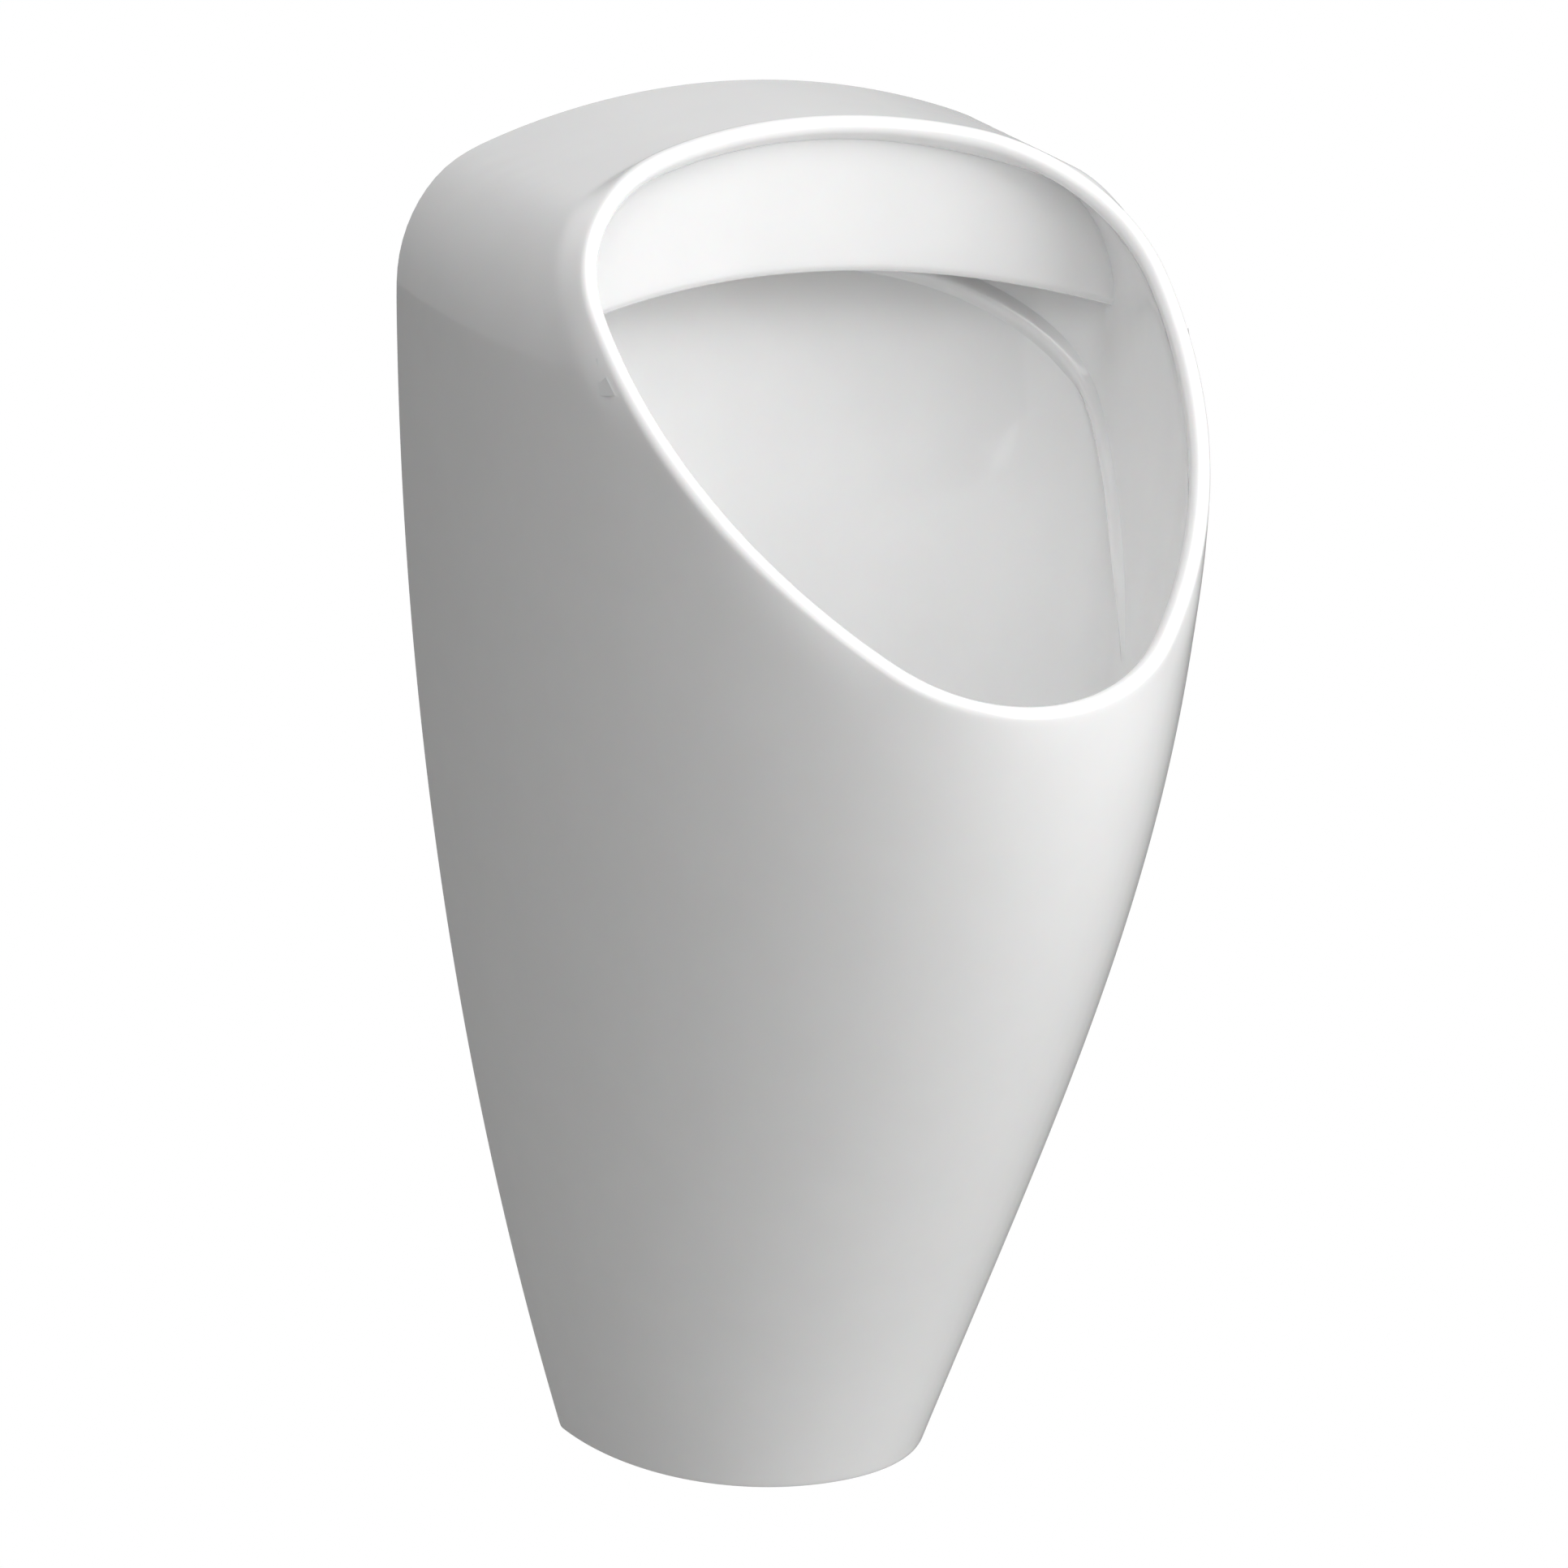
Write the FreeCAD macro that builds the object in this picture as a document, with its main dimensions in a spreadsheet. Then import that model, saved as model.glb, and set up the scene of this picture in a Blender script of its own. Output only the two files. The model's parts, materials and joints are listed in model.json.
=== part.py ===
import FreeCAD, Part
import math
import os
import re
import Sketcher
from FreeCAD import Placement, Rotation, Vector

# Wall hung urinal of glazed vitreous china with its concealed inlet, its trap and its wall fixings.
# Heights are measured up from the bottom edge of the bowl, depths out from the wall.
# Every piece is then lowered so that the datum lies on the wall, midway between the hanger screws:
# +X to the right as seen from the front, -Y out of the wall, +Z up.

doc = FreeCAD.newDocument("urinal")

SIZES = {
    # outer form of the bowl
    "width": 325,
    "total_height": 645,
    "base_width": 173,
    "widest_height": 548,
    "depth_base": 124,
    "depth_low": 207,
    "depth_mid": 292,
    "rim_depth": 350,
    "rim_height": 420,
    "rim_top_depth": 100,
    "rim_bead": 9.6,
    "rim_side_step": 25.5,
    "lip_radius": 85,
    "lip_turn": 50,
    "mouth_corner": 93,
    "crown_turn": 160,
    "top_radius": 347,
    "top_slope": 3.7,
    "corner_radius": 62,
    "corner_spread": 26,
    "skin": 9,
    # inside of the bowl
    "bowl_wall": 10,
    "bowl_back": 30,
    "floor_height": 245,
    "floor_radius": 50,
    "drain_depth": 95,
    "crease_depth": 118,
    "ledge_height": 4.6,
    "ledge_width": 8,
    "ledge_top": 574,
    "ledge_reach": 162,
    "ledge_end": 397,
    "ledge_bulge": 16,
    # hood over the flush inlet
    "hood_depth": 84,
    "hood_lean": 13,
    "hood_wall": 8,
    "hood_edge": 568,
    "hood_plan_radius": 375,
    "hood_arch_radius": 520,
    # wall hangers
    "hanger_height": 502,
    "hanger_spacing": 140,
    "hanger_width": 36,
    "hanger_steel": 3,
    "hanger_reach": 15,
    "hanger_seat": 545,
    "hanger_foot": 480,
    "hanger_tip": 13,
    "screw_spacing": 28,
    "screw_hole": 9,
    "pad_thickness": 2,
    "lug_width": 50,
    "lug_height": 20,
    "lug_leg": 8,
    # lower fixings
    "fixing_height": 33,
    "fixing_spacing": 90,
    "fixing_bore": 8.6,
    "sleeve_wall": 1.8,
    "sleeve_flange": 10,
    "rail_height": 32,
    "rail_depth": 12,
    # flush inlet
    "inlet_height": 597,
    "inlet_hole": 44,
    "inlet_bore": 28,
    "spreader_bore": 36,
    "spreader_wall": 3.5,
    "spreader_flange": 30,
    "spreader_length": 23.5,
    "spreader_slots": 5,
    "slot_width": 4.5,
    "bridge_width": 6,
    "cap_screw": 2.5,
    "seal_back": 6,
    "pad_boss": 4,
    "nut_width": 60,
    "nut_depth": 7.8,
    # waste fitting in the floor of the bowl
    "drain_hole": 54,
    "floor_wall": 12,
    "waste_flange": 42,
    "waste_recess": 3.5,
    "waste_lip": 2.5,
    "waste_radius": 24,
    "waste_wall": 2.5,
    "waste_length": 71,
    "gasket": 1.5,
    "backnut_radius": 36,
    "backnut_height": 11.5,
    "backnut_ribs": 12,
    "washer_height": 3.2,
    "strainer_radius": 36,
    "strainer_sheet": 1.5,
    "strainer_hole": 6.4,
    "strainer_inner_ring": 8,
    "strainer_outer_ring": 15.5,
    # trap
    "trap_radius": 40,
    "trap_wall": 2.5,
    "trap_top": 160,
    "trap_bottom": 64,
    "socket_top": 196,
    "socket_wall": 4.6,
    "dip_radius": 17,
    "dip_bottom": 52,
    "dip_wall": 2,
    "cup_bottom": 38,
    "cup_radius": 35,
    "cup_collar": 26,
    "cup_shoulder": 3.6,
    "slip_nut_height": 22,
    "waste_slip": 0.4,
    "nut_wall": 3,
    "nut_ribs": 8,
    "cup_ribs": 12,
    "rib_width": 4,
    "rib_height": 1.5,
    "cone_height": 3.8,
    # horizontal outlet
    "outlet_height": 125,
    "outlet_radius": 25,
    "outlet_wall": 2,
    "outlet_socket": 36,
    "outlet_grip": 16,
    "collar_radius": 36,
    "wall_gap": 2,
    # clearances
    "running_gap": 0.3,
    "seat_gap": 0.1,
}

sheet = doc.addObject("Spreadsheet::Sheet", "Sizes")
for row, (name, amount) in enumerate(SIZES.items(), start=1):
    sheet.set(f"A{row}", name)
    sheet.set(f"B{row}", str(amount))
    sheet.setAlias(f"B{row}", name)
doc.recompute()


def bind(text):
    # a formula in plain size names becomes one that reads the sheet
    return re.sub(r"[a-z][a-z_]+", lambda word: "Sizes." + word.group(0), text)


def value(text):
    return float(sheet.evalExpression(bind(text)))


def size(name):
    return float(sheet.get(name))


# ---------------------------------------------------------------- bowl casting
# One slip-cast piece: a D-shaped skirt that leaves the wall square and turns round at the front,
# a bowl inside it, a hood over the inlet and a rolled rim round the slanting mouth.

HALF = size("width") / 2
HEIGHT = size("total_height")
FLARE = 0.27            # how much deeper the form gets per millimetre above the rim's lowest point
SIDE_FULLNESS = 0.6     # how long the sides stay square to the wall
FRONT_FULLNESS = 0.59   # how blunt the front is
ROUND = 0.5523          # the same measure for a true quarter ellipse


def half_width(height):
    # the side is an arc that stands upright at the widest height
    spread = HALF - size("base_width") / 2
    rise = size("widest_height")
    radius = (rise ** 2 + spread ** 2) / (2 * spread)
    below = max(rise - height, 0)
    return HALF - radius + math.sqrt(radius ** 2 - below ** 2)


def depth(height):
    # front profile: one cubic through the base, two stations and the lip, then a straight flare
    lip = size("rim_height")
    known = [(0, size("depth_base")), (lip / 3, size("depth_low")),
             (lip * 2 / 3, size("depth_mid")), (lip, size("rim_depth"))]
    at = min(height, lip)
    total = 0
    for i, (here, reach) in enumerate(known):
        weight = 1
        for j, (other, _) in enumerate(known):
            if j != i:
                weight *= (at - other) / (here - other)
        total += reach * weight
    return total + max(height - lip, 0) * FLARE


def curve(start, first, second, end):
    bezier = Part.BezierCurve()
    bezier.setPoles([start, first, second, end])
    return bezier.toShape()


def quarter(start, corner, end, first=ROUND, second=ROUND):
    # a quarter turn from start to end inside a corner
    return curve(start, start + (corner - start) * first, end + (corner - end) * second, end)


def d_section(height, inset):
    half = half_width(height) - inset
    reach = depth(height) - inset
    right, left = Vector(half, 0, height), Vector(-half, 0, height)
    front = Vector(0, -reach, height)
    return Part.Wire([
        quarter(right, Vector(half, -reach, height), front, SIDE_FULLNESS, FRONT_FULLNESS),
        quarter(front, Vector(-half, -reach, height), left, FRONT_FULLNESS, SIDE_FULLNESS),
        Part.makeLine(left, right),
    ])


def half_space(point, normal, reach=2000):
    # a block that fills everything on the side the normal points to
    block = Part.makeBox(reach, reach, reach, Vector(-reach / 2, -reach / 2, 0))
    block.Placement = Placement(point, Rotation(Vector(0, 0, 1), normal))
    return block


LIP = Vector(0, -(size("rim_depth") - size("rim_bead") / 2), size("rim_height"))
CROWN = Vector(0, -size("rim_top_depth"), HEIGHT - size("rim_bead") * 0.8)
RIM_NORMAL = Vector(0, -(CROWN.z - LIP.z), CROWN.y - LIP.y).normalize()


def form(inset, overrun=0):
    # the outer form, or one that lies an even step inside it and runs out of its back and bottom
    lip, widest = size("rim_height"), size("widest_height")
    stations = [-overrun, lip / 4, lip / 2, lip * 3 / 4, lip, (lip + widest) / 2, widest,
                (widest + HEIGHT) / 2, HEIGHT + 15]
    body = Part.makeLoft([d_section(at, inset) for at in stations], True, False)
    radius = size("top_radius")
    drum = Part.makeCylinder(radius - inset, 1500, Vector(0, 600, HEIGHT - radius), Vector(0, -1, 0))
    drum.rotate(Vector(0, 0, HEIGHT), Vector(1, 0, 0), size("top_slope"))
    below = half_space(Vector(0, 0, HEIGHT - radius), Vector(0, 0, -1))
    body = body.common(drum.fuse(below))
    body = body.cut(half_space(LIP + RIM_NORMAL * 14, RIM_NORMAL))
    corner = size("corner_radius") - inset
    edges = [edge for edge in body.Edges if runs_along_shoulder(edge)]
    for edge in edges:
        wide = corner + size("corner_spread")
        first = edge.valueAt(edge.FirstParameter).y > edge.valueAt(edge.LastParameter).y
        near, far = (corner, wide) if first else (wide, corner)
        body = body.makeFillet(near, far, [edge])
    if overrun:
        back = max(body.Faces, key=lambda face: face.CenterOfMass.y)
        body = body.fuse(back.extrude(Vector(0, overrun, 0)))
    return body


def runs_along_shoulder(edge):
    box = edge.BoundBox
    same_side = box.XMin * box.XMax > 0
    return same_side and box.ZMin > HEIGHT - 120 and box.YLength > 60 and box.ZLength < 60


def bowl_wells():
    # stations of the bowl's own hollow, from its floor up: height, half width, crease, back and front
    back, crease = size("bowl_back"), size("crease_depth")
    floor, radius, drain = size("floor_height"), size("floor_radius"), size("drain_depth")
    rise = size("rim_height") - floor
    wells = [(floor, radius, drain, drain - radius, drain + radius)]
    for share, narrower, forward, slope, short in ((0.1, 62, 0, 10, 76), (0.31, 34, 14, 6, 44),
                                                  (0.6, 14, 36, 3, 12), (0.88, 7, 44, 1, -2),
                                                  (1.17, 7, 22, 0, -14), (1.46, 6, 2, 0, -30)):
        height = floor + rise * share
        wells.append((height, half_width(height) - narrower, crease + forward, back + slope,
                      depth(height) - short))
    for height in (size("widest_height"), HEIGHT + 12):
        wells.append((height, HALF - 4, crease, back, depth(height) + 40))
    return wells


def egg(height, half, crease, back, front):
    # a closed section whose widest points lie on the crease
    right, left = Vector(half, -crease, height), Vector(-half, -crease, height)
    rear, nose = Vector(0, -back, height), Vector(0, -front, height)
    return Part.Wire([
        quarter(right, Vector(half, -front, height), nose),
        quarter(nose, Vector(-half, -front, height), left),
        quarter(left, Vector(-half, -back, height), rear),
        quarter(rear, Vector(half, -back, height), right),
    ])


def well(grow=0, drop=0):
    sections = []
    for i, (height, half, crease, back, front) in enumerate(bowl_wells()):
        low = height - drop if i == 0 else height
        sections.append(egg(low, half + grow, crease, back - grow, front + grow))
    return Part.makeLoft(sections, True, False)


def rim_arcs():
    # half of the mouth's outline in its own plane, as arcs that touch: lip, side, corner and crown
    wide = HALF - size("rim_side_step")
    arcs, u, v, heading = [], 0, 0, 0
    turns = [math.radians(size("lip_turn")), math.radians(90), math.radians(size("crown_turn")), math.pi]
    for i, turn in enumerate(turns):
        radius = (size("lip_radius"), 0, size("mouth_corner"), 0)[i]
        if i == 1:
            radius = (wide - u) / (1 - math.sin(heading))
        if i == 3:
            radius = u / math.sin(heading)
        across, along = u - radius * math.sin(heading), v + radius * math.cos(heading)
        middle = (heading + turn) / 2
        ends = [(across + radius * math.sin(angle), along - radius * math.cos(angle)) for angle in (middle, turn)]
        arcs.append(((u, v), *ends))
        (u, v), heading = ends[1], turn
    return arcs


def rolled_rim():
    # a full bead swept round the mouth, one side and its mirror image
    run = (CROWN - LIP).normalize()
    path = []
    for spots in rim_arcs():
        path.append(Part.Arc(*(LIP + Vector(u, 0, 0) + run * v for u, v in spots)).toShape())
    ring = Part.Wire(Part.makeCircle(size("rim_bead") / 2, LIP, Vector(1, 0, 0)))
    side = Part.Wire(path).makePipeShell([ring], True, False)
    return side.fuse(side.mirror(Vector(0, 0, 0), Vector(1, 0, 0)))


def hood():
    # a thin wall, slightly hollow in plan, that hangs behind the top of the mouth and ends in an arch
    depth_at_edge, lean, wall = size("hood_depth"), size("hood_lean"), size("hood_wall")
    edge, top = size("hood_edge"), HEIGHT + 20
    bottom = edge - 60
    tilt = lean / (HEIGHT - edge)
    near, far = depth_at_edge - tilt * (edge - bottom), depth_at_edge + tilt * (top - edge)
    corners = [Vector(0, -near, bottom), Vector(0, -far, top), Vector(0, wall - far, top),
               Vector(0, wall - near, bottom)]
    face = Part.Face(Part.makePolygon(corners + corners[:1]))
    axis = Vector(0, -depth_at_edge - size("hood_plan_radius"), 0)
    face.rotate(axis, Vector(0, 0, 1), -40)
    plate = face.revolve(axis, Vector(0, 0, 1), 80)
    arch = size("hood_arch_radius")
    under = Part.makeCylinder(arch, 600, Vector(0, 0, edge - arch), Vector(0, -1, 0))
    return plate.cut(under)


def box(low, high):
    return Part.makeBox(high[0] - low[0], high[1] - low[1], high[2] - low[2], Vector(*low))


def peg(radius, start, end):
    return Part.makeCylinder(radius, (end - start).Length, start, end - start)


def hanging_lug(side):
    # a block on the back of the bowl whose rear leg drops over the upturned tip of a hanger
    middle = side * size("hanger_spacing") / 2
    half = size("lug_width") / 2
    seat = size("hanger_seat") + size("pad_thickness") + size("seat_gap")
    front = size("hanger_reach") + size("hanger_steel") + size("running_gap")
    near = size("hanger_steel") + size("running_gap") * 3
    block = box((middle - half, -front - 30, seat), (middle + half, -near, seat + size("lug_height")))
    slot_top = size("hanger_seat") + size("hanger_tip") + 2
    slot = box((middle - half - 1, -front - 6, seat - 1), (middle + half + 1, -near - size("lug_leg"), slot_top))
    return block.cut(slot)


def lower_rail():
    # a cross wall at the back of the skirt with the two lower fixing holes
    top = size("fixing_height") + size("rail_height") / 2
    rail = box((-HALF, -size("rail_depth"), top - size("rail_height")), (HALF, 0, top))
    radius = size("fixing_bore") / 2 + size("sleeve_wall") + size("seat_gap")
    for side in (-1, 1):
        centre = Vector(side * size("fixing_spacing") / 2, 0, size("fixing_height"))
        rail = rail.cut(peg(radius, centre + Vector(0, 5, 0), centre - Vector(0, 40, 0)))
    return rail


def flush_ledge(cavity):
    # a low ridge that leads the flush from under the hood down both sides of the bowl: it stands off
    # the wall evenly and follows an arc when seen from the side
    step = size("ledge_height")
    band = cavity.cut(well(-step).common(form(size("skin") + step)))
    top, low = Vector(0, -size("bowl_back"), size("ledge_top")), Vector(0, -size("ledge_reach"), size("ledge_end"))
    chord = low - top
    bulge = size("ledge_bulge")
    radius = ((chord.Length / 2) ** 2 + bulge ** 2) / (2 * bulge)
    out = Vector(0, chord.z, -chord.y).normalize()
    centre = (top + low) * 0.5 - out * (radius - bulge)
    across = Vector(1, 0, 0)
    start = centre - across * 300
    ridge = Part.makeCylinder(radius, 600, start, across).cut(
        Part.makeCylinder(radius - size("ledge_width"), 600, start, across))
    zone = box((-HALF, -size("ledge_reach"), size("ledge_end")), (HALF, 0, size("ledge_top") + 30))
    return band.common(ridge).common(zone)


def bowl_casting():
    outer, inner = form(0), form(size("skin"), 3)
    cavity = well().common(inner)
    mouth = half_space(LIP, RIM_NORMAL)
    floor = size("floor_height")
    drain = Vector(0, -size("drain_depth"), 0)
    shell = well(size("bowl_wall"), size("floor_wall")).common(outer)
    body = outer.cut(inner).fuse([shell, hanging_lug(-1), hanging_lug(1), lower_rail().common(outer)])
    body = body.cut(cavity)
    seat = Vector(0, -size("bowl_back"), size("inlet_height"))
    boss = peg(size("spreader_flange") + 3, seat + Vector(0, 2, 0), seat - Vector(0, size("pad_boss"), 0))
    body = body.fuse([hood().common(form(size("skin") / 2)), flush_ledge(cavity), boss])
    body = body.cut(mouth).fuse(rolled_rim())
    up = Vector(0, 0, 1)
    waste = peg(size("drain_hole") / 2, drain + up * (floor - size("floor_wall") - 5), drain + up * (floor + 5))
    recess = peg(size("waste_flange") + 1.5, drain + up * (floor - size("waste_recess")), drain + up * (floor + 4))
    inlet = peg(size("inlet_hole") / 2, seat + Vector(0, 40, 0), seat - Vector(0, 12, 0))
    face = seat - Vector(0, size("pad_boss"), 0)
    spot = peg(size("spreader_flange") + 3, face, face - Vector(0, size("pad_boss") * 3, 0))
    rear = Vector(0, size("bowl_wall") - size("bowl_back"), size("inlet_height"))
    flat = peg(size("nut_width") / 2 + 7, rear, rear + Vector(0, size("pad_boss") * 3, 0))
    return body.cut([waste, recess, inlet, spot, flat])


# ---------------------------------------------------------------- how the other pieces are made

UPRIGHT = Rotation(Vector(0, 0, 1), 0)
OUTWARD = Rotation(Vector(1, 0, 0), 90)     # the piece's own axis points out of the wall

WHERE = {
    # axis of a group of pieces: turn, then x, y and z of its origin
    "drain": (UPRIGHT, "0", "-drain_depth", "0"),
    "inlet": (OUTWARD, "0", "0", "inlet_height"),
    "outlet": (OUTWARD, "0", "0", "outlet_height"),
    "fixing": (OUTWARD, "fixing_spacing / 2", "0", "fixing_height"),
    "left": (UPRIGHT, "-hanger_spacing / 2", "0", "0"),
    "right": (UPRIGHT, "hanger_spacing / 2", "0", "0"),
    "wall": (UPRIGHT, "0", "0", "0"),
}
NODES = []


def place(thing, where, lowered=True):
    turn, *texts = WHERE[where]
    if lowered:
        texts[2] += " - hanger_height"
    thing.Placement = Placement(Vector(*(value(text) for text in texts)), turn)
    for letter, text in zip("xyz", texts):
        thing.setExpression("Placement.Base." + letter, bind(text))


def piece(label):
    body = doc.addObject("PartDesign::Body", label)
    body.Label = label
    return body


def sketch_on(body, role, lift=None):
    plane = next(item for item in body.Origin.OriginFeatures if item.Role == role)
    sketch = body.newObject("Sketcher::SketchObject", body.Name + "_sketch")
    sketch.AttachmentSupport = (plane, [""])
    sketch.MapMode = "FlatFace"
    if lift:
        sketch.setExpression("AttachmentOffset.Base.z", bind(lift))
    return sketch


def pin_down(sketch, geometry, vertex, texts):
    # ties one point of a sketch to its two formulas
    for kind, own_axis, text in (("DistanceX", -2, texts[0]), ("DistanceY", -1, texts[1])):
        amount = value(text)
        if abs(amount) < 1e-9:
            sketch.addConstraint(Sketcher.Constraint("PointOnObject", geometry, vertex, own_axis))
            continue
        index = sketch.addConstraint(Sketcher.Constraint(kind, -1, 1, geometry, vertex, amount))
        sketch.setExpression(f"Constraints[{index}]", bind(text))


def outline(body, role, corners, lift=None):
    # a closed sketch of straight lines through the corners, each given as two formulas
    sketch = sketch_on(body, role, lift)
    spots = [Vector(value(a), value(b), 0) for a, b in corners]
    count = len(spots)
    for i in range(count):
        sketch.addGeometry(Part.LineSegment(spots[i], spots[(i + 1) % count]))
    for i in range(count):
        sketch.addConstraint(Sketcher.Constraint("Coincident", i, 2, (i + 1) % count, 1))
    for i, texts in enumerate(corners):
        pin_down(sketch, i, 1, texts)
    return sketch


def circles(body, role, radius, centres, lift=None):
    sketch = sketch_on(body, role, lift)
    for texts in centres:
        spot = Vector(value(texts[0]), value(texts[1]), 0)
        index = sketch.addGeometry(Part.Circle(spot, Vector(0, 0, 1), value(radius)))
        tie = sketch.addConstraint(Sketcher.Constraint("Radius", index, value(radius)))
        sketch.setExpression(f"Constraints[{tie}]", bind(radius))
        pin_down(sketch, index, 3, texts)
    return sketch


def turned(label, where, profile):
    # a piece revolved from its half section: radius and height along its axis
    body = piece(label)
    section = outline(body, "XZ_Plane", profile)
    solid = body.newObject("PartDesign::Revolution", label + "_turned")
    solid.Profile = (section, [""])
    solid.ReferenceAxis = (section, ["V_Axis"])
    solid.Angle = 360
    place(body, where)
    NODES.append(body)
    return body


def pad(body, section, length, symmetric=False, backwards=False):
    solid = body.newObject("PartDesign::Pad", body.Name + "_pad")
    solid.Profile = (section, [""])
    solid.setExpression("Length", bind(length))
    if symmetric:
        solid.SideType = "Symmetric"
    solid.Reversed = backwards
    return solid


def cut_through(body, section):
    hole = body.newObject("PartDesign::Pocket", body.Name + "_cut")
    hole.Profile = (section, [""])
    hole.Type = "ThroughAll"
    hole.SideType = "Symmetric"
    return hole


def around(body, feature, section, axis, count):
    ring = body.newObject("PartDesign::PolarPattern", body.Name + "_ring")
    ring.Originals = [feature]
    ring.Axis = (section, [axis])
    ring.Angle = 360
    ring.setExpression("Occurrences", bind(count))
    body.Tip = ring
    return ring


def grip_ribs(body, radius, low, length, count):
    # upright ribs round a hand-tightened nut
    rib = outline(body, "XY_Plane", [(radius + " - 1.2", "-rib_width / 2"),
                                     (radius + " + rib_height", "-rib_width / 3"),
                                     (radius + " + rib_height", "rib_width / 3"),
                                     (radius + " - 1.2", "rib_width / 2")], low)
    return around(body, pad(body, rib, length), rib, "N_Axis", count)


def solid_of(label, shape, where="wall"):
    feature = doc.addObject("Part::Feature", label)
    feature.Label = label
    feature.Shape = shape
    place(feature, where)
    NODES.append(feature)
    return feature


def both_sides(label, source):
    # the same piece and its mirror image, kept together as one node
    mirror = doc.addObject("Part::Mirroring", label + "_mirror")
    mirror.Source = source
    mirror.Normal = Vector(1, 0, 0)
    pair = doc.addObject("Part::Compound", label)
    pair.Label = label
    pair.Links = [source, mirror]
    place(pair, "wall")
    NODES.append(pair)
    return pair


solid_of("ceramic_body", bowl_casting())

# ---------------------------------------------------------------- wall hangers and lower fixings

for side in ("left", "right"):
    bracket = piece("hanger_bracket_" + side)
    bend = outline(bracket, "YZ_Plane", [
        ("0", "hanger_foot"), ("0", "hanger_seat"),
        ("-hanger_reach", "hanger_seat"),
        ("-hanger_reach", "hanger_seat + hanger_tip"),
        ("-hanger_reach - hanger_steel", "hanger_seat + hanger_tip"),
        ("-hanger_reach - hanger_steel", "hanger_seat - hanger_steel"),
        ("-hanger_steel", "hanger_seat - hanger_steel"),
        ("-hanger_steel", "hanger_foot")])
    pad(bracket, bend, "hanger_width", symmetric=True)
    cut_through(bracket, circles(bracket, "XZ_Plane", "screw_hole / 2", [
        ("0", "hanger_height - screw_spacing / 2"), ("0", "hanger_height + screw_spacing / 2")]))
    place(bracket, side)
    NODES.append(bracket)

strip = doc.addObject("Part::Box", "pad_strip")
strip.setExpression("Length", bind("hanger_width - 4"))
strip.setExpression("Width", bind("lug_leg"))
strip.setExpression("Height", bind("pad_thickness"))
for letter, text in (("x", "hanger_spacing / 2 - hanger_width / 2 + 2"),
                     ("y", "-hanger_steel - running_gap * 3 - lug_leg"), ("z", "hanger_seat")):
    strip.setExpression("Placement.Base." + letter, bind(text))
both_sides("hanger_pads", strip)

bush_bore, bush_outer = "fixing_bore / 2", "fixing_bore / 2 + sleeve_wall"
bush = turned("fixing_sleeve_right", "fixing", [
    (bush_bore, "seat_gap"), (bush_outer, "seat_gap"), (bush_outer, "rail_depth + seat_gap"),
    ("sleeve_flange", "rail_depth + seat_gap"), ("sleeve_flange", "rail_depth + seat_gap + 1.6"),
    ("sleeve_flange - 0.8", "rail_depth + seat_gap + 2.4"), (bush_bore, "rail_depth + seat_gap + 2.4")])
NODES.remove(bush)
place(bush, "fixing", lowered=False)
both_sides("fixing_sleeves", bush)

# ---------------------------------------------------------------- flush inlet: depths out of the wall

boss_face = "bowl_back + pad_boss"
flange_back = boss_face + " + gasket"
flange_front = flange_back + " + 3"
tube = "spreader_bore / 2 + spreader_wall"
housing_end = flange_front + " + spreader_length"

turned("inlet_seal", "inlet", [
    ("inlet_bore / 2", "seal_back"), ("spreader_bore / 2 - seat_gap", "seal_back"),
    ("spreader_bore / 2 - seat_gap", "seal_back + 20"), ("inlet_bore / 2 + 2", "seal_back + 20"),
    ("inlet_bore / 2", "seal_back + 17")])

spreader = turned("spreader_body", "inlet", [
    ("spreader_bore / 2", "seal_back"), (tube, "seal_back"), (tube, flange_back),
    ("spreader_flange", flange_back), ("spreader_flange", flange_front),
    ("spreader_bore / 2 + 2", flange_front), ("spreader_bore / 2 + 2", housing_end),
    ("spreader_bore / 2", housing_end)])
slot = outline(spreader, "XZ_Plane", [
    ("-slot_width / 2", flange_front + " + 4"), ("slot_width / 2", flange_front + " + 4"),
    ("slot_width / 2", housing_end + " - 4"), ("-slot_width / 2", housing_end + " - 4")])
around(spreader, cut_through(spreader, slot), slot, "V_Axis", "spreader_slots")
bridge_side = "spreader_bore / 2 + 1"
bridge = outline(spreader, "XZ_Plane", [
    ("-spreader_bore / 2 - 1", housing_end + " - 8"), (bridge_side, housing_end + " - 8"),
    (bridge_side, housing_end + " - 1.5"), ("-spreader_bore / 2 - 1", housing_end + " - 1.5")])
pad(spreader, bridge, "bridge_width", symmetric=True)
cut_through(spreader, circles(spreader, "XY_Plane", "cap_screw + seat_gap", [("0", "0")]))

turned("spreader_gasket", "inlet", [
    (tube + " + running_gap", boss_face), ("spreader_flange", boss_face),
    ("spreader_flange", flange_back), (tube + " + running_gap", flange_back)])

turned("spreader_cap", "inlet", [
    ("cap_screw + running_gap", housing_end), ("spreader_bore / 2 + 6", housing_end),
    ("spreader_bore / 2 + 6", housing_end + " + 5.5"), ("spreader_bore / 2 + 3.5", housing_end + " + 8"),
    ("cap_screw + running_gap", housing_end + " + 8")])

turned("spreader_screw", "inlet", [
    ("0", housing_end + " - 9"), ("cap_screw", housing_end + " - 9"), ("cap_screw", housing_end + " + 8"),
    ("cap_screw * 2.4", housing_end + " + 8"), ("cap_screw * 2.4", housing_end + " + 9"),
    ("cap_screw * 1.5", housing_end + " + 10.4"), ("0", housing_end + " + 10.8")])

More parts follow.
